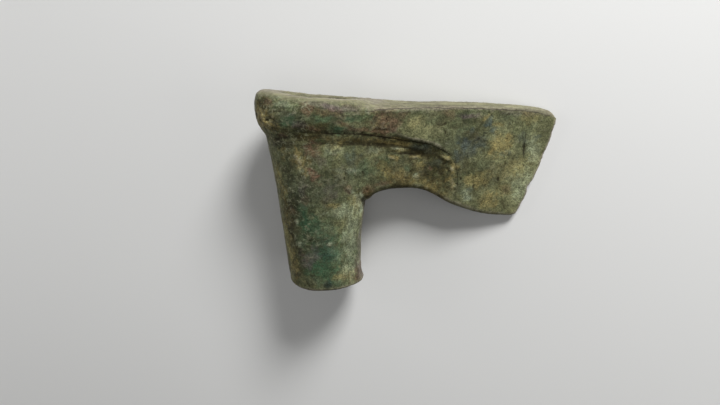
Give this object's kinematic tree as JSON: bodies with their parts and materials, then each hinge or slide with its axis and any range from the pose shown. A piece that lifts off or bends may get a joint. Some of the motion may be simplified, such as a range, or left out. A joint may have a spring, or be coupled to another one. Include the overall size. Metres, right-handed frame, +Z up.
{
  "type": "shaft-hole axe head",
  "caption": "Cast bronze axe head with a hollow haft socket, a thick collar and a flaring blade, lying on one face.",
  "frame": {"origin": "centre of the lying head's box, on the ground under it", "axes": "+X along the blade to the cutting edge, +Y up the haft socket to its crest, +Z up, away from the ground"},
  "size_m": [0.1304, 0.0886, 0.0398],
  "materials": {
    "patinated_bronze": "dull green and brown patina over cast bronze"
  },
  "bodies": {
    "root": {"axe_head": "patinated_bronze"}
  },
  "joints": []
}
